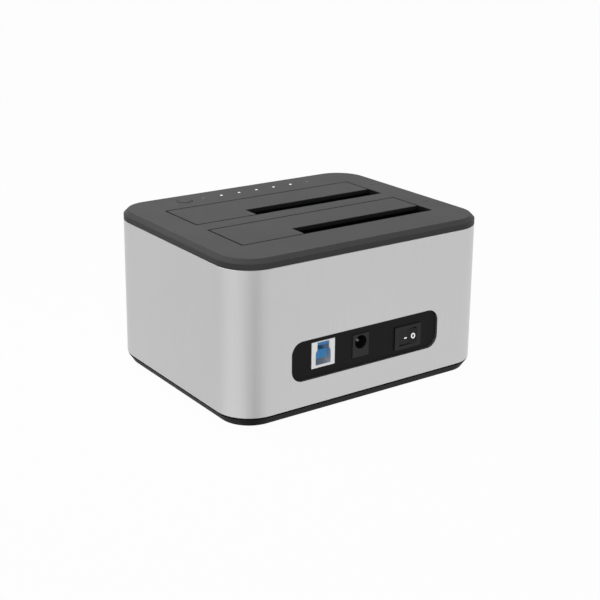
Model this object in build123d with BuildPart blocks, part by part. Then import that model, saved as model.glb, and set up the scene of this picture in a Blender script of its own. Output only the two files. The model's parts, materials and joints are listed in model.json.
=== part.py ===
from build123d import *
import math
import os

os.makedirs("parts", exist_ok=True)

# Two-bay hard drive dock. +Z up, the indicator side faces -Y, the sockets face +Y.
# The origin is on the table under the middle of the housing. All sizes in millimetres.

# Housing
body_w = 135.0
body_d = 108.0
body_r = 16.0
foot_height = 1.0
shell_bottom = 5.2
shell_top = 69.5
cover_top = 73.8
shell_wall = 1.5
fit_gap = 0.25
rim_wall = 1.5
rim_drop = 5.0
rim_rise = 4.8
cover_wall = 2.2
cover_chamfer = 1.8
sleeve_bevel = 0.3
base_floor = 2.2
groove_height = 0.5
groove_depth = 0.9
skirt_top_inset = 0.3
skirt_bottom_inset = 2.8
rim_inset = shell_wall + fit_gap
inner_inset = rim_inset + rim_wall
cover_under = cover_top - cover_wall
floor_top = foot_height + base_floor

# Drive mouths: a 3.5 inch drive needs the whole mouth, a 2.5 inch drive the slot beside the door
mouth_w = 103.0
mouth_d = 27.9
mouth_r = 1.0
mouth_bar = 9.2
mouth_shift = 0.4
slot_w = 71.4
slot_d = 10.0
first_start = mouth_shift - mouth_bar / 2 - mouth_d
bays = {"a": first_start, "b": first_start + mouth_d + mouth_bar}

# Doors and hinges
door_gap = 0.45
door_t = 2.0
rod_r = 0.8
rod_clearance = 0.05
rod_half = 43.5
knuckle_r = 1.6
arm_gap = 0.2
arm_t = 2.0
arm_w = 6.0
arm_x = 36.0
arm_reach = 6.0
ear_r = 2.2
ear_w = 2.4
ear_x = (28.2, 40.5)
hinge_z = cover_under - arm_gap - knuckle_r
hinge_back = 4.3
tab_w = 1.4
tab_t = 0.5
wire_w = 0.45
coil_r = 1.2
coil_pitch = 0.6
coil_turns = 4
coil_x = 29.9
lever_leg = 6.8
fixed_leg = 2.6
leg_overlap = 0.2
leg_w = 0.5

# Drive guide
guide_wall = 1.6
guide_side = 0.2
guide_end = 0.3
guide_bottom = 25.2
guide_floor = 1.5
guide_top = cover_under - 0.4
pocket_depth = 5.9
pocket_floor = 36.6
guide_front_top = 60.0
window_clear = 0.9
guide_screw_x = mouth_w / 2 + 5.5
guide_screw_y = 18.0
guide_ear_r = 3.4
guide_ear_z = 60.0
guide_ear_t = 2.0

# Rear panel and its window
window_w = 79.6
window_h = 18.0
window_r = 5.6
window_x = 1.1
window_z = 25.9
panel_t = 1.8
panel_margin = 3.4
panel_tab_w = 9.0
panel_tab_d = 8.0
panel_tab_t = 2.0
panel_screw_x = 36.0
panel_screw_set = 4.4
socket_gap = 0.15
panel_face = body_d / 2 - shell_wall - fit_gap
panel_back = panel_face - panel_t
pad_gap = 0.3
pad_face = body_d / 2 - 1.0

# Circuit board
board_t = 1.6
board_top = 21.1
board_half_w = body_w / 2 - 17.5
board_front = 8 - body_d / 2
board_rear = panel_back - 0.45
board_bottom = board_top - board_t
standoff_r = 2.6
board_notch_w = 18.0
board_notch_d = 15.5

# USB socket
usb_x = 24.3
usb_w = 12.1
usb_h = 11.7
usb_d = 16.0
usb_skin = 0.45
usb_lip = 8.0
usb_low_w = 7.8
usb_low_h = 6.9
usb_low_cut = 1.4
usb_high_w = 6.2
usb_high_h = 3.2
usb_sill = 1.15
usb_tongue_w = 5.5
usb_low_tongue = (24.4, 28.2)
usb_high_tongue = (30.3, 32.3)
usb_tongue_back = 1.6
usb_face = pad_face + 0.35

# Power jack
jack_x = 4.2
jack_w = 8.8
jack_h = 10.4
jack_d = 13.5
jack_face = pad_face + 0.25
jack_bore_r = 3.1
jack_bore_z = 27.8
jack_bore_d = 9.5
jack_pin_r = 1.0
jack_pin_back = 2.0
jack_pin_bevel = 0.6

# Power switch
switch_x = -22.1
switch_z = 24.7
flange_w = 14.8
flange_h = 10.6
flange_t = 0.5
switch_w = 12.6
switch_h = 8.8
switch_d = 13.0
rocker_half = 4.55
rocker_h = 7.0
rocker_tilt = 6.0
rocker_rise = 1.4
rocker_drop = 2.2
rocker_sink = 0.45
rocker_side_gap = 0.4
rocker_end_gap = 0.2
pivot_r = 0.7
pivot_len = 0.5
pocket_under = 1.2
terminal_w = 3.0
terminal_t = 0.8
terminal_pitch = 4.6
terminal_l = 6.2

# Indicator row and copy button
row_y = 11.2 - body_d / 2
row_pitch = 10.0
button_x = 35.0
indicator_count = 7
pipe_r = 0.65
pipe_clearance = 0.05
pipe_bar_w = 3.0
pipe_bar_t = 1.6
led_board_top = 64.0
led_board_t = 1.2
led_board_d = 8.4
led_post_x = 43.0
led_board_half_w = led_post_x + 4
led_post_r = 2.6
led_size = (1.6, 1.0, 0.8)
lamp_gap = 0.3
button_r = 3.4
button_gap = 0.3
button_proud = 0.3
button_flange_r = 4.4
button_flange_t = 1.2
stem_r = 2.0
tact_size = 6.2
tact_h = 3.6
plunger_r = 1.7
plunger_top = 69.0
plunger_length = 2.8

# Posts, screws and feet
post_x = body_w / 2 - 12
post_y = body_d / 2 - 11
base_post_r = 4.2
cover_post_r = 3.3
post_joint = 14.0
long_screw_r = 1.5
long_screw_seat = 3.4
long_screw_tip = 24.0
long_head_r = 2.7
short_screw_r = 1.2
short_head_r = 2.3
head_h = 1.5
head_gap = 0.2
hole_gap = 0.1
pilot_gap = 0.05
cross_l = 2.4
cross_w = 0.6
cross_h = 0.8
screw_reach = 6.5
panel_screw_reach = 5.0
foot_r = 4.7
foot_recess = 0.6
foot_gap = 0.2
foot_chamfer = 0.3

# Drive connectors
sata_x = -20.5
sata_w = 41.0
sata_d = 7.2
sata_h = 9.6
sata_from_end = 5.0
sata_slots = ((-14.2, 10.6), (5.8, 21.0))
sata_slot_d = 2.2
sata_slot_depth = 7.0
contact_pitch = 1.27
contact_counts = (7, 15)
contact_w = 0.6
contact_t = 0.3
contact_h = 5.0

# Cable between the boards
ribbon_x = -20.0
ribbon_w = 12.0
ribbon_t = 0.3
ribbon_bow = 2.6
header_w = 14.5
header_d = 3.2
header_h = 3.6
header_y = 11 - body_d / 2

standing = (Align.CENTER, Align.CENTER, Align.MIN)
led_places = [(button_x - row_pitch * (i + 1), row_y) for i in range(indicator_count)]
post_places = [(sx * post_x, sy * post_y) for sx in (-1, 1) for sy in (-1, 1)]
guide_places = [(sx * guide_screw_x, sy * guide_screw_y) for sx in (-1, 1) for sy in (-1, 1)]
led_board_places = [(-led_post_x, row_y), (led_post_x, row_y)]
board_places = [(sx * (board_half_w - 4.5), y) for sx in (-1, 1) for y in (board_front + 10, board_rear - 10)]
panel_places = [(window_x + side * panel_screw_x, panel_back - panel_screw_set) for side in (-1, 1)]


def write(piece, name):
    piece.part.label = name
    export_step(piece.part, f"parts/{name}.step")


def outline(inset, mode=Mode.ADD):
    RectangleRounded(body_w - 2 * inset, body_d - 2 * inset, body_r - inset, mode=mode)


def block(x, y, z, mode=Mode.ADD):
    with Locations(((x[0] + x[1]) / 2, (y[0] + y[1]) / 2, z[0])):
        Box(x[1] - x[0], y[1] - y[0], z[1] - z[0], align=standing, mode=mode)


def rounds(places, radius, z, mode=Mode.ADD):
    with Locations([(x, y, z[0]) for x, y in places]):
        Cylinder(radius, z[1] - z[0], align=standing, mode=mode)


def along_x(y, z, radius, x, mode=Mode.ADD):
    with Locations(((x[0] + x[1]) / 2, y, z)):
        Cylinder(radius, x[1] - x[0], rotation=(0, 90, 0), mode=mode)


def into_back(x, z, radius, y, mode=Mode.ADD):
    with Locations((x, (y[0] + y[1]) / 2, z)):
        Cylinder(radius, y[1] - y[0], rotation=(90, 0, 0), mode=mode)


def screws(places, seat, tip, shank_r, head_r):
    way = 1 if tip > seat else -1
    rounds(places, shank_r, (min(seat, tip), max(seat, tip)))
    head_end = seat - way * head_h
    rounds(places, head_r, (min(seat, head_end), max(seat, head_end)))
    cross_end = head_end + way * cross_h
    cross = (min(head_end, cross_end), max(head_end, cross_end))
    for x, y in places:
        block((x - cross_l / 2, x + cross_l / 2), (y - cross_w / 2, y + cross_w / 2), cross, Mode.SUBTRACT)
        block((x - cross_w / 2, x + cross_w / 2), (y - cross_l / 2, y + cross_l / 2), cross, Mode.SUBTRACT)


# Sleeve with the rear window
with BuildPart() as shell:
    with BuildSketch(Plane.XY.offset(shell_bottom)):
        outline(0)
        outline(shell_wall, Mode.SUBTRACT)
    extrude(amount=shell_top - shell_bottom)
    for end in (shell.faces().sort_by(Axis.Z)[0], shell.faces().sort_by(Axis.Z)[-1]):
        chamfer(end.outer_wire().edges(), sleeve_bevel)
    with BuildSketch(Plane.XZ.offset(-body_d / 2)):
        with Locations((window_x, window_z)):
            RectangleRounded(window_w, window_h, window_r)
    extrude(amount=shell_wall * 2, mode=Mode.SUBTRACT)
write(shell, "shell")

# Base tray with a tapered skirt, a ledge for the sleeve and posts for both boards
vent_rows = range(-3, 4)
vent_pitch = 6.0
vent_w = 2.0
vent_l = 36.0
panel_notch = window_w / 2 + panel_margin + fit_gap
with BuildPart() as base_tray:
    with BuildSketch(Plane.XY.offset(foot_height)):
        outline(skirt_bottom_inset)
    with BuildSketch(Plane.XY.offset(shell_bottom - groove_height)):
        outline(skirt_top_inset)
    loft()
    with BuildSketch(Plane.XY.offset(shell_bottom - groove_height)):
        outline(groove_depth)
    extrude(amount=groove_height)
    with BuildSketch(Plane.XY.offset(shell_bottom)):
        outline(rim_inset)
    extrude(amount=rim_rise)
    with BuildSketch(Plane.XY.offset(floor_top)):
        outline(inner_inset)
    extrude(amount=body_d, mode=Mode.SUBTRACT)
    block((window_x - panel_notch, window_x + panel_notch), (panel_back - 1, body_d / 2),
          (shell_bottom, shell_bottom + rim_rise), Mode.SUBTRACT)
    rounds(post_places, base_post_r, (floor_top, post_joint))
    rounds(post_places, long_screw_r + hole_gap, (foot_height, post_joint), Mode.SUBTRACT)
    rounds(post_places, foot_r + foot_gap, (foot_height, foot_height + foot_recess), Mode.SUBTRACT)
    rounds(post_places, long_head_r + head_gap, (foot_height, long_screw_seat), Mode.SUBTRACT)
    rounds(board_places, standoff_r, (floor_top, board_bottom))
    rounds(board_places, short_screw_r + pilot_gap, (floor_top + 2, board_bottom), Mode.SUBTRACT)
    rounds(panel_places, standoff_r, (floor_top, shell_bottom))
    rounds(panel_places, short_screw_r + pilot_gap, (foot_height + 1, shell_bottom), Mode.SUBTRACT)
    for row in vent_rows:
        block((row * vent_pitch - vent_w / 2, row * vent_pitch + vent_w / 2), (-vent_l / 2, vent_l / 2),
              (foot_height, floor_top), Mode.SUBTRACT)
write(base_tray, "base_tray")

# Top cover with the two mouths, hinge ears and bosses
with BuildPart() as top_cover:
    with BuildSketch(Plane.XY.offset(shell_top)):
        outline(0)
    extrude(amount=cover_top - shell_top)
    chamfer(top_cover.faces().sort_by(Axis.Z)[-1].edges(), cover_chamfer)
    with BuildSketch(Plane.XY.offset(shell_top)):
        outline(rim_inset)
    extrude(amount=-rim_drop)
    with BuildSketch(Plane.XY.offset(cover_under)):
        outline(inner_inset)
    extrude(amount=-rim_drop * 2, mode=Mode.SUBTRACT)
    with BuildSketch(Plane.XY.offset(cover_top)):
        for start in bays.values():
            with Locations((0, start + mouth_d / 2)):
                RectangleRounded(mouth_w, mouth_d, mouth_r)
    extrude(amount=-cover_wall * 2, mode=Mode.SUBTRACT)
    rounds(led_places, pipe_r + pipe_clearance, (cover_under, cover_top), Mode.SUBTRACT)
    rounds([(button_x, row_y)], button_r + button_gap, (cover_under, cover_top), Mode.SUBTRACT)
    rounds(post_places, cover_post_r, (post_joint, cover_under))
    rounds(post_places, long_screw_r + pilot_gap, (post_joint, long_screw_tip + 1), Mode.SUBTRACT)
    rounds(guide_places, cover_post_r, (guide_ear_z + guide_ear_t, cover_under))
    rounds(guide_places, short_screw_r + pilot_gap, (guide_ear_z, cover_under - 1), Mode.SUBTRACT)
    rounds(led_board_places, led_post_r, (led_board_top, cover_under))
    rounds(led_board_places, short_screw_r + pilot_gap, (led_board_top, cover_under - 1), Mode.SUBTRACT)
    for start in bays.values():
        for x in (-ear_x[1], -ear_x[0], ear_x[0], ear_x[1]):
            ear = (x - ear_w / 2, x + ear_w / 2)
            block(ear, (start - hinge_back - ear_r, start - hinge_back + ear_r), (hinge_z, cover_under))
            along_x(start - hinge_back, hinge_z, ear_r, ear)
            along_x(start - hinge_back, hinge_z, rod_r + rod_clearance, ear, Mode.SUBTRACT)
write(top_cover, "top_cover")

# Each door is the mouth less the small slot, on two arms that reach under the cover to the rod
for bay, start in bays.items():
    hinge_y = start - hinge_back
    with BuildPart() as door:
        with BuildSketch(Plane.XY.offset(cover_top - door_t)):
            with Locations((0, start + mouth_d / 2)):
                RectangleRounded(mouth_w - 2 * door_gap, mouth_d - 2 * door_gap, mouth_r)
            with Locations((slot_w / 2 - mouth_w / 2, start + mouth_d - slot_d / 2)):
                Rectangle(slot_w, slot_d, mode=Mode.SUBTRACT)
        extrude(amount=door_t)
        for side in (-1, 1):
            arm = (side * arm_x - arm_w / 2, side * arm_x + arm_w / 2)
            arm_top = hinge_z + knuckle_r
            block(arm, (hinge_y, start + arm_reach), (arm_top - arm_t, arm_top))
            block(arm, (start + door_gap, start + arm_reach), (arm_top - arm_t, cover_top - door_t))
            along_x(hinge_y, hinge_z, knuckle_r, arm)
            along_x(hinge_y, hinge_z, rod_r + rod_clearance, arm, Mode.SUBTRACT)
        tab = (arm_x - arm_w / 2 - tab_w, arm_x - arm_w / 2)
        block(tab, (start + door_gap, start + arm_reach), (cover_top - door_t - tab_t, cover_top - door_t))
    write(door, f"door_{bay}")

    with BuildPart() as rod:
        along_x(hinge_y, hinge_z, rod_r, (-rod_half, rod_half))
    write(rod, f"hinge_rod_{bay}")

    top_of_coil = hinge_z + coil_r
    lever_x = coil_x + coil_pitch * coil_turns
    coil_plane = Plane(origin=(coil_x, hinge_y, hinge_z), x_dir=(0, 0, 1), z_dir=(1, 0, 0))
    wire = coil_plane * Helix(coil_pitch, coil_pitch * coil_turns, coil_r, lefthand=True)
    with BuildPart() as spring:
        with BuildSketch(Plane(origin=wire @ 0, z_dir=wire % 0)):
            Rectangle(wire_w, wire_w)
        sweep(path=wire, is_frenet=True)
        leg_z = (top_of_coil - leg_w / 2, top_of_coil + leg_w / 2)
        block((coil_x - leg_w / 2, coil_x + leg_w / 2), (hinge_y - fixed_leg, hinge_y + leg_overlap), leg_z)
        block((lever_x - leg_w / 2, lever_x + leg_w / 2), (hinge_y - leg_overlap, hinge_y + lever_leg), leg_z)
    write(spring, f"spring_{bay}")

# Drive guide: two wells in one moulding, each with a pocket for its open door
first_end = bays["a"] + mouth_d + guide_end
last_end = bays["b"] + mouth_d + guide_end
well_half = mouth_w / 2 + guide_side
pockets = {"a": bays["a"] - pocket_depth, "b": first_end + guide_wall}
front_wall = pockets["a"] - guide_wall
outer_half = well_half + guide_wall
with BuildPart() as drive_guide:
    block((-outer_half, outer_half), (front_wall, last_end + guide_wall), (guide_bottom, guide_top))
    for x, y in guide_places:
        side = math.copysign(1, x)
        ear_x_span = sorted((side * (well_half + guide_wall / 2), x))
        block(ear_x_span, (y - guide_ear_r, y + guide_ear_r), (guide_ear_z, guide_ear_z + guide_ear_t))
        rounds([(x, y)], guide_ear_r, (guide_ear_z, guide_ear_z + guide_ear_t))
    rounds(guide_places, short_screw_r + hole_gap, (guide_ear_z, guide_ear_z + guide_ear_t), Mode.SUBTRACT)
    for bay, start in bays.items():
        end = start + mouth_d + guide_end
        block((-well_half, well_half), (start, end), (guide_bottom + guide_floor, guide_top), Mode.SUBTRACT)
        block((-well_half, well_half), (pockets[bay], start), (pocket_floor, guide_top), Mode.SUBTRACT)
        block((-well_half, well_half), (pockets[bay], start - guide_wall),
              (guide_bottom, pocket_floor - guide_wall), Mode.SUBTRACT)
        connector_y = start + mouth_d - sata_from_end
        block((sata_x - sata_w / 2 - window_clear, sata_x + sata_w / 2 + window_clear),
              (connector_y - sata_d / 2 - window_clear, connector_y + sata_d / 2 + window_clear),
              (guide_bottom, guide_bottom + guide_floor), Mode.SUBTRACT)
    block((-outer_half, outer_half), (front_wall, pockets["a"]), (guide_front_top, guide_top), Mode.SUBTRACT)
write(drive_guide, "drive_guide")

# Rear panel with cut-outs for the sockets and the switch
usb_z = board_top + usb_h / 2
jack_z = board_top + jack_h / 2
panel_top = window_z + window_h / 2 + panel_margin
panel_half = window_w / 2 + panel_margin
with BuildPart() as rear_panel:
    block((window_x - panel_half, window_x + panel_half), (panel_back, panel_face), (shell_bottom, panel_top))
    with BuildSketch(Plane.XZ.offset(-panel_face)):
        with Locations((window_x, window_z)):
            RectangleRounded(window_w - 2 * pad_gap, window_h - 2 * pad_gap, window_r - pad_gap)
    extrude(amount=panel_face - pad_face)
    for x, y in panel_places:
        block((x - panel_tab_w / 2, x + panel_tab_w / 2), (panel_back - panel_tab_d, panel_back),
              (shell_bottom, shell_bottom + panel_tab_t))
    rounds(panel_places, short_screw_r + hole_gap, (shell_bottom, shell_bottom + panel_tab_t), Mode.SUBTRACT)
    for x, z, w, h in ((usb_x, usb_z, usb_w, usb_h), (jack_x, jack_z, jack_w, jack_h),
                       (switch_x, switch_z, switch_w, switch_h)):
        block((x - w / 2 - socket_gap, x + w / 2 + socket_gap), (panel_back, pad_face),
              (z - h / 2 - socket_gap, z + h / 2 + socket_gap), Mode.SUBTRACT)
write(rear_panel, "rear_panel")

# Main board, notched for the switch
with BuildPart() as main_board:
    block((-board_half_w, board_half_w), (board_front, board_rear), (board_bottom, board_top))
    block((switch_x - board_notch_w / 2, switch_x + board_notch_w / 2), (panel_back - board_notch_d, board_rear),
          (board_bottom, board_top), Mode.SUBTRACT)
    rounds(board_places, short_screw_r + hole_gap, (board_bottom, board_top), Mode.SUBTRACT)
write(main_board, "main_board")

# Drive connectors with a short signal slot and a long power slot
for bay, start in bays.items():
    connector_y = start + mouth_d - sata_from_end
    slot = (connector_y - sata_slot_d / 2, connector_y + sata_slot_d / 2)
    sata_top = board_top + sata_h
    with BuildPart() as sata:
        block((sata_x - sata_w / 2, sata_x + sata_w / 2), (connector_y - sata_d / 2, connector_y + sata_d / 2),
              (board_top, sata_top))
        for centre, length in sata_slots:
            block((sata_x + centre - length / 2, sata_x + centre + length / 2), slot,
                  (sata_top - sata_slot_depth, sata_top), Mode.SUBTRACT)
    write(sata, f"sata_socket_{bay}")

    with BuildPart() as contacts:
        for (centre, length), count in zip(sata_slots, contact_counts):
            for i in range(count):
                x = sata_x + centre + (i - (count - 1) / 2) * contact_pitch
                low = sata_top - sata_slot_depth
                block((x - contact_w / 2, x + contact_w / 2), (slot[1] - contact_t, slot[1]),
                      (low, low + contact_h))
    write(contacts, f"sata_contacts_{bay}")

# USB 3 type B socket: folded metal shell, insulator with two tongues
usb_front = usb_face
usb_left = usb_x - usb_w / 2
usb_right = usb_x + usb_w / 2
usb_top = board_top + usb_h
usb_low_z = board_top + usb_sill
usb_low_top = usb_low_z + usb_low_h
with BuildPart() as usb_shell:
    block((usb_left, usb_right), (usb_front - usb_d, usb_front), (board_top, usb_top))
    block((usb_left + usb_skin, usb_right - usb_skin), (usb_front - usb_d, usb_front - usb_lip),
          (board_top, usb_top - usb_skin), Mode.SUBTRACT)
    with BuildSketch(Plane.XZ.offset(-usb_front)):
        with BuildLine():
            Polyline((usb_x - usb_low_w / 2, usb_low_z), (usb_x + usb_low_w / 2, usb_low_z),
                     (usb_x + usb_low_w / 2, usb_low_top - usb_low_cut),
                     (usb_x + usb_high_w / 2, usb_low_top),
                     (usb_x + usb_high_w / 2, usb_low_top + usb_high_h),
                     (usb_x - usb_high_w / 2, usb_low_top + usb_high_h),
                     (usb_x - usb_high_w / 2, usb_low_top),
                     (usb_x - usb_low_w / 2, usb_low_top - usb_low_cut), close=True)
        make_face()
    extrude(amount=usb_lip, mode=Mode.SUBTRACT)
write(usb_shell, "usb_shell")

usb_block_front = usb_front - usb_lip
with BuildPart() as usb_insulator:
    block((usb_left + usb_skin, usb_right - usb_skin), (usb_front - usb_d, usb_block_front),
          (board_top, usb_top - usb_skin))
    for low, high in (usb_low_tongue, usb_high_tongue):
        block((usb_x - usb_tongue_w / 2, usb_x + usb_tongue_w / 2),
              (usb_block_front, usb_front - usb_tongue_back), (low, high))
write(usb_insulator, "usb_insulator")

usb_contact_x = (-1.25, 1.25)
usb_fine_pitch = 1.0
usb_contact_w = 0.6
usb_contact_t = 0.15
usb_contact_y = (usb_block_front, usb_front - usb_tongue_back - 0.8)
with BuildPart() as usb_contacts:
    for x in usb_contact_x:
        for z in (usb_low_tongue[0] - usb_contact_t, usb_low_tongue[1]):
            block((usb_x + x - usb_contact_w / 2, usb_x + x + usb_contact_w / 2), usb_contact_y,
                  (z, z + usb_contact_t))
    for i in range(-2, 3):
        x = usb_x + i * usb_fine_pitch
        block((x - usb_contact_w / 2, x + usb_contact_w / 2), usb_contact_y,
              (usb_high_tongue[0] - usb_contact_t, usb_high_tongue[0]))
write(usb_contacts, "usb_contacts")

# Power jack and its centre pin
with BuildPart() as power_jack:
    block((jack_x - jack_w / 2, jack_x + jack_w / 2), (jack_face - jack_d, jack_face),
          (board_top, board_top + jack_h))
    into_back(jack_x, jack_bore_z, jack_bore_r, (jack_face - jack_bore_d, jack_face), Mode.SUBTRACT)
write(power_jack, "power_jack")

with BuildPart() as jack_pin:
    into_back(jack_x, jack_bore_z, jack_pin_r, (jack_face - jack_bore_d, jack_face - jack_pin_back))
    chamfer(jack_pin.edges().group_by(Axis.Y)[-1], jack_pin_bevel)
write(jack_pin, "jack_pin")

# Rocker switch, stored with its right half pressed in
pivot_y = pad_face + flange_t - rocker_sink - rocker_rise * math.cos(math.radians(rocker_tilt))
rocker_end_rise = rocker_rise + rocker_half * math.tan(math.radians(rocker_tilt))
pocket_half_w = rocker_half + rocker_side_gap
pocket_half_h = rocker_h / 2 + rocker_end_gap
pocket_back = pivot_y - rocker_drop - pocket_under
with BuildPart() as switch_body:
    block((switch_x - switch_w / 2, switch_x + switch_w / 2), (pad_face - switch_d, pad_face),
          (switch_z - switch_h / 2, switch_z + switch_h / 2))
    block((switch_x - flange_w / 2, switch_x + flange_w / 2), (pad_face, pad_face + flange_t),
          (switch_z - flange_h / 2, switch_z + flange_h / 2))
    block((switch_x - pocket_half_w, switch_x + pocket_half_w), (pocket_back, pad_face + flange_t),
          (switch_z - pocket_half_h, switch_z + pocket_half_h), Mode.SUBTRACT)
    rounds([(switch_x, pivot_y)], pivot_r + pilot_gap,
           (switch_z - pocket_half_h - pivot_len, switch_z + pocket_half_h + pivot_len), Mode.SUBTRACT)
write(switch_body, "switch_body")

with BuildPart() as rocker:
    with BuildSketch(Plane.XY.offset(switch_z - rocker_h / 2).move(Location((switch_x, pivot_y, 0)))
                     .rotated((0, 0, -rocker_tilt))):
        with BuildLine():
            Polyline((-rocker_half, -rocker_drop), (rocker_half, -rocker_drop),
                     (rocker_half, rocker_end_rise), (0, rocker_rise),
                     (-rocker_half, rocker_end_rise), close=True)
        make_face()
    extrude(amount=rocker_h)
    rounds([(switch_x, pivot_y)], pivot_r,
           (switch_z - pocket_half_h - pivot_len + pilot_gap, switch_z + pocket_half_h + pivot_len - pilot_gap))
write(rocker, "switch_rocker")

terminal_y = pad_face - switch_d - terminal_l
with BuildPart() as terminals:
    for i in (-1, 0, 1):
        x = (switch_x + i * terminal_pitch - terminal_w / 2, switch_x + i * terminal_pitch + terminal_w / 2)
        block(x, (terminal_y, pad_face - switch_d), (switch_z - terminal_t / 2, switch_z + terminal_t / 2))
        block(x, (terminal_y, terminal_y + terminal_t), (board_top, switch_z + terminal_t / 2))
write(terminals, "switch_terminals")

# Indicator board, its lamps, the light pipes and the copy button
led_board_y = (row_y - led_board_d / 2, row_y + led_board_d / 2)
led_board_bottom = led_board_top - led_board_t
with BuildPart() as led_board:
    block((-led_board_half_w, led_board_half_w), led_board_y, (led_board_bottom, led_board_top))
    rounds(led_board_places, short_screw_r + hole_gap, (led_board_bottom, led_board_top), Mode.SUBTRACT)
write(led_board, "indicator_board")

led_w, led_d, led_h = led_size
with BuildPart() as lamps:
    for x, y in led_places:
        block((x - led_w / 2, x + led_w / 2), (y - led_d / 2, y + led_d / 2),
              (led_board_top, led_board_top + led_h))
write(lamps, "lamps")

bar_x = (led_places[-1][0] - pipe_bar_w / 2, led_places[0][0] + pipe_bar_w / 2)
with BuildPart() as light_pipes:
    block(bar_x, (row_y - pipe_bar_w / 2, row_y + pipe_bar_w / 2), (cover_under - pipe_bar_t, cover_under))
    rounds(led_places, pipe_r, (led_board_top + led_h + lamp_gap, cover_top))
write(light_pipes, "light_pipes")

with BuildPart() as button:
    rounds([(button_x, row_y)], button_r, (cover_under - button_flange_t, cover_top + button_proud))
    rounds([(button_x, row_y)], button_flange_r, (cover_under - button_flange_t, cover_under))
    rounds([(button_x, row_y)], stem_r, (plunger_top, cover_under - button_flange_t))
    chamfer(button.edges().group_by(Axis.Z)[-1], foot_chamfer)
write(button, "copy_button")

tact_half = tact_size / 2
tact_top = led_board_top + tact_h
with BuildPart() as tact_switch:
    block((button_x - tact_half, button_x + tact_half), (row_y - tact_half, row_y + tact_half),
          (led_board_top, tact_top))
    rounds([(button_x, row_y)], plunger_r + pilot_gap, (led_board_top + 1, tact_top), Mode.SUBTRACT)
write(tact_switch, "tact_switch")

with BuildPart() as plunger:
    rounds([(button_x, row_y)], plunger_r, (plunger_top - plunger_length, plunger_top))
write(plunger, "tact_plunger")

# Flat cable and the two headers it runs between
header_x = (ribbon_x - header_w / 2, ribbon_x + header_w / 2)
header_span = (header_y - header_d / 2, header_y + header_d / 2)
with BuildPart() as headers:
    block(header_x, header_span, (board_top, board_top + header_h))
    block(header_x, header_span, (led_board_bottom - header_h, led_board_bottom))
write(headers, "cable_headers")

ribbon_low = board_top + header_h
ribbon_high = led_board_bottom - header_h
with BuildPart() as ribbon:
    with BuildSketch(Plane.YZ.offset(ribbon_x - ribbon_w / 2)):
        with BuildLine():
            middle = (ribbon_low + ribbon_high) / 2
            outer = header_y - ribbon_t / 2
            inner = header_y + ribbon_t / 2
            ThreePointArc((outer, ribbon_low), (outer - ribbon_bow, middle), (outer, ribbon_high))
            Line((outer, ribbon_high), (inner, ribbon_high))
            ThreePointArc((inner, ribbon_high), (inner - ribbon_bow, middle), (inner, ribbon_low))
            Line((inner, ribbon_low), (outer, ribbon_low))
        make_face()
    extrude(amount=ribbon_w)
write(ribbon, "ribbon_cable")

# Board parts under and behind the drive guide
chips = ((12.0, 2.0, 10.0, 10.0, 1.2), (28.0, -26.0, 7.0, 7.0, 1.0), (-30.0, -24.0, 5.0, 6.0, 1.6))
with BuildPart() as board_chips:
    for x, y, w, d, h in chips:
        block((x - w / 2, x + w / 2), (y - d / 2, y + d / 2), (board_top, board_top + h))
write(board_chips, "board_chips")

coils = ((36.0, 12.0), (36.0, 0.0))
coil_size = 7.0
coil_h = 3.2
with BuildPart() as inductors:
    for x, y in coils:
        block((x - coil_size / 2, x + coil_size / 2), (y - coil_size / 2, y + coil_size / 2),
              (board_top, board_top + coil_h))
    chamfer(inductors.edges().filter_by(Axis.Z), coil_h / 4)
write(inductors, "inductors")

capacitors_at = [(13.4, board_rear - 8), (-7.5, board_rear - 8)]
capacitor_r = 3.15
capacitor_h = 8.0
capacitor_bevel = 0.5
with BuildPart() as capacitors:
    rounds(capacitors_at, capacitor_r, (board_top, board_top + capacitor_h))
    chamfer(capacitors.edges().group_by(Axis.Z)[-1], capacitor_bevel)
write(capacitors, "capacitors")

# Feet and screws
with BuildPart() as feet:
    rounds(post_places, foot_r, (0, foot_height + foot_recess))
    chamfer(feet.edges().group_by(Axis.Z)[0], foot_chamfer)
write(feet, "feet")

with BuildPart() as housing_screws:
    screws(post_places, long_screw_seat, long_screw_tip, long_screw_r, long_head_r)
write(housing_screws, "housing_screws")

with BuildPart() as guide_screws:
    screws(guide_places, guide_ear_z, guide_ear_z + screw_reach, short_screw_r, short_head_r)
write(guide_screws, "guide_screws")

with BuildPart() as led_board_screws:
    screws(led_board_places, led_board_bottom, led_board_bottom + screw_reach, short_screw_r, short_head_r)
write(led_board_screws, "indicator_board_screws")

with BuildPart() as board_screws:
    screws(board_places, board_top, board_top - screw_reach, short_screw_r, short_head_r)
write(board_screws, "board_screws")

with BuildPart() as panel_screw_set_part:
    screws(panel_places, shell_bottom + panel_tab_t, shell_bottom + panel_tab_t - panel_screw_reach,
           short_screw_r, short_head_r)
write(panel_screw_set_part, "panel_screws")
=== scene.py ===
import json
import math
import bpy
from mathutils import Matrix, Vector


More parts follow.
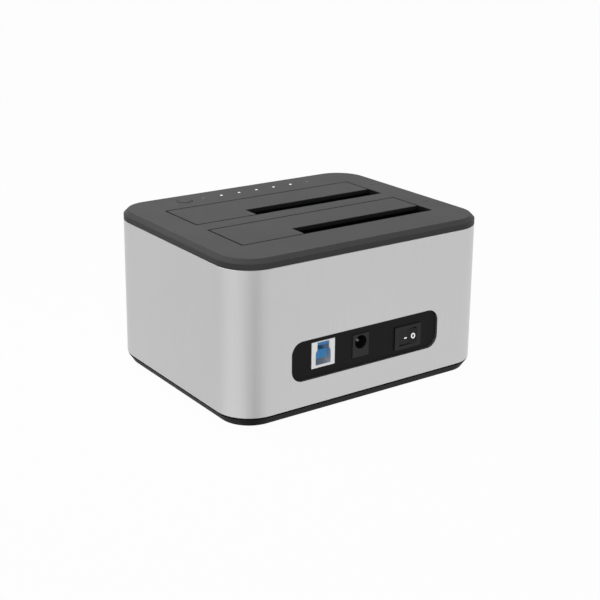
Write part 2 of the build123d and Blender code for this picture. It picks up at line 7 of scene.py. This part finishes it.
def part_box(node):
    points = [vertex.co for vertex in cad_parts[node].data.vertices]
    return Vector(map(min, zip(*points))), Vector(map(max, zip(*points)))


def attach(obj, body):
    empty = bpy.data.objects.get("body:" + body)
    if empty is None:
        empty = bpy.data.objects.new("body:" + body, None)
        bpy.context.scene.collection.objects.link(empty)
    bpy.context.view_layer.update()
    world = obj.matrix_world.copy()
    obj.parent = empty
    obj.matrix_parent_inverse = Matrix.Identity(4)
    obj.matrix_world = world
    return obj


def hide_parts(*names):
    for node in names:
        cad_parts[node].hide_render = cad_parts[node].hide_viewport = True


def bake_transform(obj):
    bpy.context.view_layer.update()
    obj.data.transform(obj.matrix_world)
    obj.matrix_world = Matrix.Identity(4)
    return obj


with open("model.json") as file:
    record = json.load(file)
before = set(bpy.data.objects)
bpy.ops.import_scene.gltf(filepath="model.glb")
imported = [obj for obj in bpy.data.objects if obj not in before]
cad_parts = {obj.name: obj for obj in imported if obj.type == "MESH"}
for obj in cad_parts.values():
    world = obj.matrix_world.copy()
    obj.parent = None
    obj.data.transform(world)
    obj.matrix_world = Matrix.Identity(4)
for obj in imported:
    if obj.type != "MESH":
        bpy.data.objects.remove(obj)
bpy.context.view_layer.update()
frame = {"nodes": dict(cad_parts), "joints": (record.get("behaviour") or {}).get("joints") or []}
mm = 0.001
print("dock loaded:", len(frame["nodes"]), "nodes")


# A shader socket that can be added, multiplied and so on
class Wire:
    def __init__(self, maker, socket):
        self.maker = maker
        self.socket = socket

    def work(self, operation, first, second):
        return self.maker.node("ShaderNodeMath", {"operation": operation}, {0: first, 1: second})

    def __add__(self, other):
        return self.work("ADD", self, other)

    __radd__ = __add__

    def __sub__(self, other):
        return self.work("SUBTRACT", self, other)

    def __rsub__(self, other):
        return self.work("SUBTRACT", other, self)

    def __mul__(self, other):
        return self.work("MULTIPLY", self, other)

    __rmul__ = __mul__

    def __gt__(self, other):
        return self.work("GREATER_THAN", self, other)

    def __lt__(self, other):
        return self.work("LESS_THAN", self, other)

    def __pow__(self, other):
        return self.work("POWER", self, other)

    def __abs__(self):
        return self.work("ABSOLUTE", self, 0.0)

    def atLeast(self, other):
        return self.work("MAXIMUM", self, other)


# One finish: its nodes are added by node(), and its surface by surface()
class Finish:
    def __init__(self, name):
        self.material = bpy.data.materials.new(name)
        self.material.use_nodes = True
        self.tree = self.material.node_tree
        self.tree.nodes.clear()
        self.output = self.tree.nodes.new("ShaderNodeOutputMaterial")

    def node(self, kind, settings=None, sockets=None, output=0):
        made = self.tree.nodes.new(kind)
        for key, value in (settings or {}).items():
            setattr(made, key, value)
        for key, value in (sockets or {}).items():
            if isinstance(value, Wire):
                self.tree.links.new(value.socket, made.inputs[key])
            else:
                made.inputs[key].default_value = value
        return Wire(self, made.outputs[output])

    def place(self):
        return self.node("ShaderNodeTexCoord", output="Object")

    def along(self, axis):
        return self.node("ShaderNodeSeparateXYZ", {}, {0: self.place()}, axis)

    def stretched(self, scale):
        return self.node("ShaderNodeMapping", {}, {"Vector": self.place(), "Scale": scale})

    def noise(self, scale, detail=3.0, where=None):
        spot = where or self.place()
        return self.node("ShaderNodeTexNoise", {}, {"Vector": spot, "Scale": scale, "Detail": detail})

    def mixed(self, share, first, second):
        return self.node("ShaderNodeMix", {"data_type": "RGBA"}, {"Factor": share, 6: first, 7: second}, 2)

    def bumped(self, height, strength, distance):
        return self.node("ShaderNodeBump", {}, {"Height": height, "Strength": strength, "Distance": distance})

    def surface(self, **sockets):
        named = {key.replace("_", " "): value for key, value in sockets.items()}
        named.setdefault("Specular IOR Level", 0.3)
        bsdf = self.node("ShaderNodeBsdfPrincipled", {}, named)
        self.tree.links.new(bsdf.socket, self.output.inputs["Surface"])
        return self.material


# Screen levels from 0 to 255, turned to the linear values that a shader takes
def colour(red, green, blue):
    return tuple(((level / 255 + 0.055) / 1.055) ** 2.4 for level in (red, green, blue)) + (1.0,)


def grey(level):
    return colour(level, level, level)


# Moulded plastic with a spark-eroded grain, and a second tone in broad rubbed patches
mould = {"grainScale": 2600.0, "patchScale": 38.0, "patchStart": 0.42, "patchGain": 2.2, "patchHeight": 0.15,
         "roughSpread": 0.12, "bump": 0.25, "bumpDepth": 0.2 * mm}


def mouldedPlastic(name, base, rubbed, roughness=0.5, grain=1.0, otherWhere=None, other=None, **sockets):
    finish = Finish(name)
    fine = finish.noise(mould["grainScale"], 2.0)
    broad = finish.noise(mould["patchScale"], 4.0)
    face = finish.mixed((broad - mould["patchStart"]) * mould["patchGain"], base, rubbed)
    if otherWhere:
        face = finish.mixed(otherWhere(finish), face, other)
    height = fine + broad * mould["patchHeight"]
    return finish.surface(Base_Color=face, Roughness=roughness + (fine - 0.5) * mould["roughSpread"],
                          Normal=finish.bumped(height, mould["bump"] * grain, mould["bumpDepth"]), **sockets)


# Painted shade in the seams round the doors, on the edges of both plates, and on their cut faces
seam = {"halfWidth": 51.5 * mm, "halfDepth": 13.95 * mm, "middles": (-18.15 * mm, 18.95 * mm),
        "outside": 0.35 * mm, "inside": 0.8 * mm, "skin": 0.3 * mm, "reach": 34.0 * mm}
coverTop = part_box("door_a")[1].z


def paintedSeamShade(finish):
    y = finish.along("Y")
    pastX = abs(finish.along("X")) - seam["halfWidth"]
    below = finish.along("Z") < coverTop - seam["skin"]
    shade = below * (pastX < seam["outside"]) * (abs(y) < seam["reach"])
    for middle in seam["middles"]:
        edge = pastX.atLeast(abs(y - middle) - seam["halfDepth"])
        shade = (edge > -seam["inside"]) * (edge < seam["outside"]) + shade
    return shade


# Only the tongues of the socket's insulator are blue; its back block is painted pale, a painted light that
# brightens the inside of the socket and its reflection in the shell
tongueLength = 7.9 * mm


def socketBackPaintedLight(finish):
    return finish.along("Y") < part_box("usb_shell")[1].y - tongueLength


# Anodised aluminium, brushed up and down before the bath
def anodisedSleeve():
    look = {"light": grey(214), "dark": grey(200), "metallic": 0.82, "roughness": 0.34, "roughSpread": 0.16,
            "strokes": (1500.0, 1500.0, 18.0), "strokeShare": 0.6, "clouds": 16.0, "cloudShare": 0.4,
            "brush": 0.12, "brushDepth": 0.06 * mm}
    finish = Finish("sleeveAnodised")
    strokes = finish.noise(1.0, 3.0, finish.stretched(look["strokes"]))
    clouds = finish.noise(look["clouds"])
    tone = strokes * look["strokeShare"] + clouds * look["cloudShare"]
    face = finish.mixed(tone, look["dark"], look["light"])
    return finish.surface(Base_Color=face, Metallic=look["metallic"],
                          Roughness=look["roughness"] + (strokes - 0.5) * look["roughSpread"],
                          Normal=finish.bumped(strokes, look["brush"], look["brushDepth"]))


# Plated or drawn metal, duller where it has tarnished
plating = {"tarnish": 180.0, "dulled": 0.82, "roughSpread": 0.2, "bump": 0.1, "bumpDepth": 0.05 * mm}


def platedMetal(name, base, roughness, along=(400.0, 400.0, 400.0), metallic=1.0):
    finish = Finish(name)
    lines = finish.noise(1.0, 3.0, finish.stretched(along))
    dull = tuple(channel * plating["dulled"] for channel in base[:3]) + (1.0,)
    face = finish.mixed(finish.noise(plating["tarnish"]), dull, base)
    return finish.surface(Base_Color=face, Metallic=metallic,
                          Roughness=roughness + (lines - 0.5) * plating["roughSpread"],
                          Normal=finish.bumped(lines, plating["bump"], plating["bumpDepth"]))


# Printed circuit board: solder mask over faint copper tracks
def boardMask():
    look = {"mask": colour(12, 66, 38), "track": colour(26, 98, 56), "pitch": 2.4 * mm, "run": 9.6 * mm,
            "trackWidth": 0.16 * mm, "areas": 90.0, "roughness": 0.32, "roughSpread": 0.1, "smears": 300.0,
            "bump": 0.3, "bumpDepth": 0.05 * mm, "coat": 0.3}
    finish = Finish("boardMask")
    cells = finish.node("ShaderNodeTexBrick", {"offset": 0.5}, {
        "Vector": finish.place(), "Color1": grey(0), "Color2": grey(0), "Mortar": grey(255), "Scale": 1.0,
        "Mortar Size": look["trackWidth"], "Brick Width": look["run"], "Row Height": look["pitch"]}, 1)
    tracks = cells * (finish.noise(look["areas"], 2.0) > 0.5)
    return finish.surface(Base_Color=finish.mixed(tracks, look["mask"], look["track"]),
                          Roughness=look["roughness"] + finish.noise(look["smears"]) * look["roughSpread"],
                          Normal=finish.bumped(tracks, look["bump"], look["bumpDepth"]),
                          Coat_Weight=look["coat"])


# Lamp windows: the five in the middle are lit at their tops, the two at the ends are off
def lampWindow():
    look = {"lit": grey(250), "off": grey(112), "half": 26.0 * mm, "middle": -5.0 * mm, "window": 0.6 * mm,
            "glow": 0.9, "roughness": 0.3, "roughSpread": 0.1, "grainScale": 900.0}
    finish = Finish("lampWindow")
    away = abs(finish.along("X") - look["middle"])
    lit = (away < look["half"]) * (finish.along("Z") > coverTop - look["window"])
    grain = finish.noise(look["grainScale"])
    return finish.surface(Base_Color=finish.mixed(lit, look["off"], look["lit"]),
                          Roughness=look["roughness"] + grain * look["roughSpread"],
                          Emission_Color=finish.mixed(lit, grey(0), look["lit"]),
                          Emission_Strength=look["glow"])


finishes = {
    "sleeve": anodisedSleeve(),
    # The cover, the doors and the button take painted shade, grey(14), in the door seams and on their cut
    # faces
    "cover": mouldedPlastic("coverPlastic", grey(80), grey(87), 0.6, otherWhere=paintedSeamShade, other=grey(14),
                            Specular_IOR_Level=0.2),
    "base": mouldedPlastic("basePlastic", grey(13), grey(17), 0.55, Specular_IOR_Level=0.07),
    "guide": mouldedPlastic("guidePlastic", grey(16), grey(20), 0.6),
    "panel": mouldedPlastic("panelPlastic", grey(10), grey(13), 0.5, 0.5, Specular_IOR_Level=0.14),
    "jack": mouldedPlastic("jackPlastic", grey(25), grey(30), 0.42, 0.4),
    "bezel": mouldedPlastic("bezelPlastic", grey(27), grey(32), 0.4, 0.3, Specular_IOR_Level=0.25),
    "rocker": mouldedPlastic("rockerPlastic", grey(16), grey(21), 0.36, 0.3, Specular_IOR_Level=0.25),
    "socket": mouldedPlastic("socketPlastic", grey(28), grey(34), 0.4, 0.5),
    # The insulator's back block is painted pale grey(236) as painted light inside the socket
    "usbBlue": mouldedPlastic("usbBlue", colour(86, 180, 255), colour(98, 188, 255), 0.36, 0.4,
                              otherWhere=socketBackPaintedLight, other=grey(236)),
    "header": mouldedPlastic("headerPlastic", colour(226, 220, 204), colour(236, 230, 216), 0.45, 0.4),
    "ferrite": mouldedPlastic("ferrite", grey(66), grey(80), 0.7, 2.0),
    "film": mouldedPlastic("cableFilm", colour(224, 224, 218), colour(236, 236, 230), 0.35, 0.3),
    "rubber": mouldedPlastic("footRubber", grey(24), grey(32), 0.85, 2.0),
    # The white print also glows faintly: a painted glow, for the print is no lamp
    "print": mouldedPlastic("whitePrint", grey(240), grey(250), 0.4, 0.3, Emission_Color=grey(255),
                            Emission_Strength=0.6),
    "numeral": mouldedPlastic("numeralPrint", grey(12), grey(16), 0.5, 0.3),
    "nickel": platedMetal("nickelPlate", grey(240), 0.3),
    "usbShell": platedMetal("usbShellPlate", grey(255), 0.34, metallic=0.6),
    "dullPin": platedMetal("dullPin", grey(120), 0.45),
    "gold": platedMetal("goldPlate", colour(228, 188, 104), 0.24),
    "steel": platedMetal("drawnSteel", grey(176), 0.3, (60.0, 1800.0, 1800.0)),
    "zinc": platedMetal("zincPlate", grey(150), 0.34),
    "can": platedMetal("drawnCan", grey(206), 0.28, (900.0, 900.0, 60.0)),
    "board": boardMask(),
    "lamp": lampWindow(),
}
print("finishes made:", len(finishes))

nodeFinishes = {
    "sleeve": ["shell"],
    "cover": ["top_cover", "door_a", "door_b", "copy_button"],
    "base": ["base_tray"],
    "guide": ["drive_guide"],
    "panel": ["rear_panel"],
    "jack": ["power_jack"],
    "bezel": ["switch_body"],
    "rocker": ["switch_rocker"],
    "socket": ["sata_socket_a", "sata_socket_b", "tact_switch", "tact_plunger", "board_chips"],
    "usbBlue": ["usb_insulator"],
    "header": ["cable_headers"],
    "ferrite": ["inductors"],
    "film": ["ribbon_cable"],
    "rubber": ["feet"],
    "nickel": ["switch_terminals"],
    "usbShell": ["usb_shell"],
    "dullPin": ["jack_pin"],
    "gold": ["sata_contacts_a", "sata_contacts_b", "usb_contacts"],
    "steel": ["hinge_rod_a", "hinge_rod_b", "spring_a", "spring_b"],
    "zinc": ["housing_screws", "guide_screws", "indicator_board_screws", "board_screws", "panel_screws"],
    "can": ["capacitors"],
    "board": ["main_board", "indicator_board"],
    "lamp": ["lamps", "light_pipes"],
}
for finishName, names in nodeFinishes.items():
    for name in names:
        mesh = frame["nodes"][name].data
        mesh.materials.clear()
        mesh.materials.append(finishes[finishName])
print("finishes applied")


def newPiece(name, mesh, finishName, body):
    piece = bpy.data.objects.new(name, mesh)
    bpy.context.collection.objects.link(piece)
    mesh.materials.clear()
    mesh.materials.append(finishes[finishName])
    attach(piece, body)


# Bay numerals at the -X end of the cover, half sunk in its face and read from the +X end
numerals = {"size": 4.8 * mm, "thickness": 0.04 * mm, "bold": 0.16 * mm, "curveSteps": 6, "x": -59.0 * mm,
            "y": {"a": -20.4 * mm, "b": 19.2 * mm}}


def bayNumeral(name, text, place):
    curve = bpy.data.curves.new(name + "Curve", "FONT")
    curve.body = text
    curve.size = numerals["size"]
    curve.align_x = "CENTER"
    curve.align_y = "CENTER"
    curve.extrude = numerals["thickness"] / 2
    curve.offset = numerals["bold"]
    curve.resolution_u = numerals["curveSteps"]
    holder = bpy.data.objects.new(name + "Holder", curve)
    bpy.context.collection.objects.link(holder)
    bpy.context.view_layer.update()
    evaluated = holder.evaluated_get(bpy.context.evaluated_depsgraph_get())
    mesh = bpy.data.meshes.new_from_object(evaluated)
    mesh.name = name
    mesh.transform(place)
    bpy.data.objects.remove(holder)
    bpy.data.curves.remove(curve)
    newPiece(name, mesh, "numeral", "housing")


for bay, text in (("a", "1"), ("b", "2")):
    place = Matrix.Translation((numerals["x"], numerals["y"][bay], coverTop))
    bayNumeral("bay_numeral_" + bay, text, place @ Matrix.Rotation(math.pi / 2, 4, "Z"))
print("numerals laid")


# One Geometry Nodes tree with named inputs, which grow() runs once to give a plain mesh
class Growth:
    def __init__(self, name, inputs):
        self.tree = bpy.data.node_groups.new(name, "GeometryNodeTree")
        self.tree.interface.new_socket("Geometry", in_out="OUTPUT", socket_type="NodeSocketGeometry")
        for label, value in inputs.items():
            kind = "NodeSocketInt" if isinstance(value, int) else "NodeSocketFloat"
            kind = "NodeSocketVector" if isinstance(value, tuple) else kind
            self.tree.interface.new_socket(label, in_out="INPUT", socket_type=kind)
        self.given = self.tree.nodes.new("NodeGroupInput")
        self.inputs = inputs

    def node(self, kind, settings=None, sockets=None, output=0):
        made = self.tree.nodes.new(kind)
        for key, value in (settings or {}).items():
            setattr(made, key, value)
        for key, value in (sockets or {}).items():
            for link in (value if isinstance(value, list) else [value]):
                if isinstance(link, bpy.types.NodeSocket):
                    self.tree.links.new(link, made.inputs[key])
                else:
                    made.inputs[key].default_value = link
        return made.outputs[output]

    def input(self, label):
        return self.given.outputs[label]

    def grow(self, geometry, finishName):
        finish = finishes[finishName]
        solid = self.node("GeometryNodeRealizeInstances", {}, {0: geometry})
        painted = self.node("GeometryNodeSetMaterial", {}, {"Geometry": solid, "Material": finish})
        result = self.tree.nodes.new("NodeGroupOutput")
        self.tree.links.new(painted, result.inputs[0])
        start = bpy.data.meshes.new(self.tree.name + "Start")
        holder = bpy.data.objects.new(self.tree.name + "Holder", start)
        bpy.context.collection.objects.link(holder)
        modifier = holder.modifiers.new("grow", "NODES")
        modifier.node_group = self.tree
        for socket in self.tree.interface.items_tree:
            if socket.in_out == "INPUT":
                modifier[socket.identifier] = self.inputs[socket.name]
        bpy.context.view_layer.update()
        evaluated = holder.evaluated_get(bpy.context.evaluated_depsgraph_get())
        mesh = bpy.data.meshes.new_from_object(evaluated)
        mesh.name = self.tree.name
        holder.modifiers.remove(modifier)
        bpy.data.objects.remove(holder)
        return mesh


# Torsion springs of the doors: coils on the hinge rod, one leg under the cover and one under the door
spring = {"coilRadius": 1.2 * mm, "wireRadius": 0.22 * mm, "turns": 4.0, "coilSteps": 28, "wireSteps": 10,
          "endGap": 0.25 * mm, "fixedLeg": 2.6 * mm, "leverLeg": 6.7 * mm}
for bay in ("a", "b"):
    low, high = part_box("spring_" + bay)
    rodLow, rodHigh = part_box("hinge_rod_" + bay)
    axisY = (rodLow.y + rodHigh.y) / 2
    axisZ = (rodLow.z + rodHigh.z) / 2
    startX = low.x + spring["endGap"]
    width = high.x - low.x - 2 * spring["endGap"]
    growth = Growth("torsion_spring_" + bay, {
        "Coil Radius": spring["coilRadius"], "Wire Radius": spring["wireRadius"], "Turns": spring["turns"],
        "Width": width})
    coil = growth.node("GeometryNodeCurveSpiral", {}, {
        "Resolution": spring["coilSteps"], "Rotations": growth.input("Turns"),
        "Start Radius": growth.input("Coil Radius"), "End Radius": growth.input("Coil Radius"),
        "Height": growth.input("Width"), "Reverse": True})
    legs = []
    for height, reach in ((0.0, spring["fixedLeg"]), (width, -spring["leverLeg"])):
        legs.append(growth.node("GeometryNodeCurvePrimitiveLine", {}, {
            "Start": (spring["coilRadius"], 0, height), "End": (spring["coilRadius"], reach, height)}))
    paths = growth.node("GeometryNodeJoinGeometry", {}, {0: [coil] + legs})
    section = growth.node("GeometryNodeCurvePrimitiveCircle", {}, {
        "Resolution": spring["wireSteps"], "Radius": growth.input("Wire Radius")})
    wire = growth.node("GeometryNodeCurveToMesh", {}, {
        "Curve": paths, "Profile Curve": section, "Fill Caps": True})
    mesh = growth.grow(wire, "steel")
    # The tree's Z goes along the rod, its X up and its Y towards -Y
    mesh.transform(Matrix(((0, 0, 1, startX), (0, -1, 0, axisY), (1, 0, 0, axisZ), (0, 0, 0, 1))))
    piece = bpy.data.objects.new("torsion_spring_" + bay, mesh)
    bpy.context.collection.objects.link(piece)
    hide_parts("spring_" + bay)
    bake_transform(piece)
print("springs wound")

# Chip resistors: a row beside the lamps, and rows on the main board given by their start and count
resistors = {"size": (1.6 * mm, 0.8 * mm, 0.5 * mm), "lampCount": 7, "lampPitch": 10.0 * mm,
             "lampEnd": 0.8 * mm, "lampSide": 2.6 * mm, "boardPitch": 2.6 * mm,
             "boardRows": [(-8.0 * mm, 13.0 * mm, 7), (20.0 * mm, -20.0 * mm, 5),
                           (-38.0 * mm, -14.0 * mm, 6)]}
halfHeight = resistors["size"][2] / 2


def resistorRow(name, count, start, pitch):
    growth = Growth(name, {"Count": count, "Start": start, "Offset": (pitch, 0.0, 0.0)})
    line = growth.node("GeometryNodeMeshLine", {"mode": "OFFSET"}, {
        "Count": growth.input("Count"), "Start Location": growth.input("Start"),
        "Offset": growth.input("Offset")})
    chip = growth.node("GeometryNodeMeshCube", {}, {"Size": resistors["size"]})
    row = growth.node("GeometryNodeInstanceOnPoints", {}, {"Points": line, "Instance": chip})
    newPiece(name, growth.grow(row, "socket"), "socket", "housing")


lampLow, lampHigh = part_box("lamps")
lampStart = (lampLow.x + resistors["lampEnd"], lampHigh.y + resistors["lampSide"], lampLow.z + halfHeight)
resistorRow("lamp_resistors", resistors["lampCount"], lampStart, resistors["lampPitch"])
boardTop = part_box("main_board")[1].z
for number, (x, y, count) in enumerate(resistors["boardRows"], 1):
    resistorRow("board_resistors_%d" % number, count, (x, y, boardTop + halfHeight), resistors["boardPitch"])
print("resistors placed")

# White marks printed on the rocker, with a faint painted glow; the rocker is stored with its +X half pressed
# in
marks = {"tilt": math.radians(6.0), "rise": 1.4 * mm, "line": 0.56 * mm, "height": 0.04 * mm,
         "ring": 1.05 * mm, "ringTall": 1.25, "ringSteps": 40, "ringAt": -3.0 * mm, "ringDrop": 0.1 * mm,
         "dash": 1.5 * mm, "dashAt": 0.85 * mm, "dashDrop": 0.6 * mm}
switchJoint = [joint for joint in frame["joints"] if joint["name"] == "switch_rocker_tilt"][0]
pivot = Vector(switchJoint["pos_m"])


# From a mark's own flat place to the rocker's face, which rises from its middle to both ends
def onRocker(along, drop):
    rest = Matrix.Translation(pivot) @ Matrix.Rotation(-marks["tilt"], 4, "Z")
    lean = Matrix.Rotation(math.copysign(marks["tilt"], along), 4, "Z")
    up = Matrix.Rotation(-math.pi / 2, 4, "X")
    height = marks["rise"] + abs(along) * math.tan(marks["tilt"])
    return rest @ Matrix.Translation((along, height, -drop)) @ lean @ up


def ellipse(inset):
    across = marks["ring"] - inset
    tall = marks["ring"] * marks["ringTall"] - inset
    turns = [2 * math.pi * step / marks["ringSteps"] for step in range(marks["ringSteps"])]
    return [(across * math.cos(turn), tall * math.sin(turn)) for turn in turns]


def markPiece(name, points, faces, place):
    mesh = bpy.data.meshes.new(name)
    mesh.from_pydata(points, [], faces)
    mesh.transform(place)
    newPiece(name, mesh, "print", "switch_rocker")


# Four faces for each step round the ring: outside, top, inside and underside
def offMark():
    steps = marks["ringSteps"]
    rings = (ellipse(0.0), ellipse(marks["line"]))
    points = [(x, y, z) for ring in rings for z in (0.0, marks["height"]) for x, y in ring]
    lowOut, highOut, lowIn, highIn = (level * steps for level in range(4))
    faces = []
    for i in range(steps):
        j = (i + 1) % steps
        faces.append((lowOut + i, lowOut + j, highOut + j, highOut + i))
        faces.append((highOut + i, highOut + j, highIn + j, highIn + i))
        faces.append((highIn + i, highIn + j, lowIn + j, lowIn + i))
        faces.append((lowIn + i, lowIn + j, lowOut + j, lowOut + i))
    markPiece("off_mark", points, faces, onRocker(marks["ringAt"], marks["ringDrop"]))


def onMark():
    halfDash = marks["dash"] / 2
    halfLine = marks["line"] / 2
    corners = [(-halfDash, -halfLine), (halfDash, -halfLine), (halfDash, halfLine), (-halfDash, halfLine)]
    points = [(x, y, z) for z in (0.0, marks["height"]) for x, y in corners]
    faces = [(3, 2, 1, 0), (4, 5, 6, 7), (0, 1, 5, 4), (1, 2, 6, 5), (2, 3, 7, 6), (3, 0, 4, 7)]
    markPiece("on_mark", points, faces, onRocker(marks["dashAt"], marks["dashDrop"]))


offMark()
onMark()
print("switch marked")

# Camera at the photograph's place in millimetres; its focal length and centre are in pixels of the picture
view = {"place": (314.51, 445.28, 220.89), "right": (-0.81760, 0.57571, 0.00938),
        "forward": (-0.55552, -0.78443, -0.27580), "focal": 1237.7, "centreY": 230.0, "pictureSize": 600.0,
        "sensor": 36.0, "nearest": 0.01}
camera = bpy.data.cameras.new("camera")
cameraHolder = bpy.data.objects.new("camera", camera)
bpy.context.collection.objects.link(cameraHolder)
camera.sensor_width = view["sensor"]
camera.lens = view["focal"] / view["pictureSize"] * view["sensor"]
camera.shift_y = (view["centreY"] - view["pictureSize"] / 2) / view["pictureSize"]
camera.clip_start = view["nearest"]
right = Vector(view["right"]).normalized()
back = -Vector(view["forward"]).normalized()
up = back.cross(right).normalized()
right = up.cross(back).normalized()
turned = Matrix((right, up, back)).transposed().to_4x4()
cameraHolder.matrix_world = Matrix.Translation(Vector(view["place"]) * mm) @ turned
bpy.context.scene.camera = cameraHolder

# Floor, world and lamps
studio = {"floor": grey(110), "shadowFloor": grey(244), "world": 0.16, "floorSize": 12.0, "floorShare": 0.975,
          "top": 0.72, "topSize": 0.35, "topPlace": (0.17, -0.1, 0.42), "topAim": (0, 0, 0.05),
          "side": 4.2, "sideSize": 0.6, "sidePlace": (0.6, 1.1, 0.5), "sideAim": (0, 0, 0.04)}
white = grey(255)


# Rays that see the background: the camera's own, and those that a gloss or clear surface sends on
def seenRays(finish):
    names = ("Is Camera Ray", "Is Glossy Ray", "Is Transmission Ray")
    camera, glossy, clear = (finish.node("ShaderNodeLightPath", output=name) for name in names)
    return finish.node("ShaderNodeClamp", {}, {"Value": camera + glossy + clear})


# A dark, a bright and a faint dark card round the near corner, seen only as reflections in the sleeve
cards = {"from": (0.055, 0.045, 0.0), "dark": {"azimuth": math.radians(72.0), "gain": -0.34, "power": 11.0},
         "bright": {"azimuth": math.radians(2.0), "gain": 0.12, "power": 8.0},
         "faint": {"azimuth": math.radians(-55.0), "gain": -0.08, "power": 4.0}}


def cardShine(finish):
    vectorMath = "ShaderNodeVectorMath"
    away = finish.node(vectorMath, {"operation": "SUBTRACT"}, {0: finish.place(), 1: cards["from"]}, "Vector")
    way = finish.node(vectorMath, {"operation": "NORMALIZE"}, {0: away}, "Vector")
    total = 0.0
    for card in (cards["dark"], cards["bright"], cards["faint"]):
        toCard = (math.cos(card["azimuth"]), math.sin(card["azimuth"]), 0.0)
        facing = finish.node(vectorMath, {"operation": "DOT_PRODUCT"}, {0: way, 1: toCard}, "Value")
        total = facing.atLeast(0.0) ** card["power"] * card["gain"] + total
    return 1.0 + finish.node("ShaderNodeLightPath", output="Is Glossy Ray") * total


# White with a faint shadow to the rays that see it, and dull to the light that falls on it
floorFinish = Finish("studioFloor")
dull = floorFinish.node("ShaderNodeBsdfDiffuse", {}, {"Color": studio["floor"]})
glow = floorFinish.node("ShaderNodeEmission", {}, {"Color": white, "Strength": cardShine(floorFinish)})
shadowed = floorFinish.node("ShaderNodeBsdfDiffuse", {}, {"Color": studio["shadowFloor"]})
shown = floorFinish.node("ShaderNodeMixShader", {}, {0: studio["floorShare"], 1: shadowed, 2: glow})
laid = floorFinish.node("ShaderNodeMixShader", {}, {0: seenRays(floorFinish), 1: dull, 2: shown})
floorFinish.tree.links.new(laid.socket, floorFinish.output.inputs["Surface"])
half = studio["floorSize"] / 2
floorCorners = [(-half, -half, 0), (half, -half, 0), (half, half, 0), (-half, half, 0)]
floorMesh = bpy.data.meshes.new("floor")
floorMesh.from_pydata(floorCorners, [], [(0, 1, 2, 3)])
floorMesh.materials.append(floorFinish.material)
floor = bpy.data.objects.new("floor", floorMesh)
bpy.context.collection.objects.link(floor)

# The world's nodes are made by a Finish, whose own material is then removed
world = bpy.data.worlds.new("studio")
bpy.context.scene.world = world
world.use_nodes = True
sky = Finish("skyNodes")
sky.tree = world.node_tree
sky.tree.nodes.clear()
sky.output = sky.tree.nodes.new("ShaderNodeOutputWorld")
strength = seenRays(sky) * (1.0 - studio["world"]) + studio["world"]
background = sky.node("ShaderNodeBackground", {}, {"Color": white, "Strength": strength})
sky.tree.links.new(background.socket, sky.output.inputs["Surface"])
bpy.data.materials.remove(sky.material)


def areaLamp(name, place, target, size, power):
    lamp = bpy.data.lights.new(name, "AREA")
    lamp.size = size
    lamp.energy = power
    holder = bpy.data.objects.new(name, lamp)
    bpy.context.collection.objects.link(holder)
    away = Vector(place) - Vector(target)
    holder.matrix_world = Matrix.Translation(place) @ away.to_track_quat("Z", "Y").to_matrix().to_4x4()


areaLamp("overheadLamp", studio["topPlace"], studio["topAim"], studio["topSize"], studio["top"])
areaLamp("sideLamp", studio["sidePlace"], studio["sideAim"], studio["sideSize"], studio["side"])
bpy.context.scene.view_settings.view_transform = "Standard"
print("studio set")
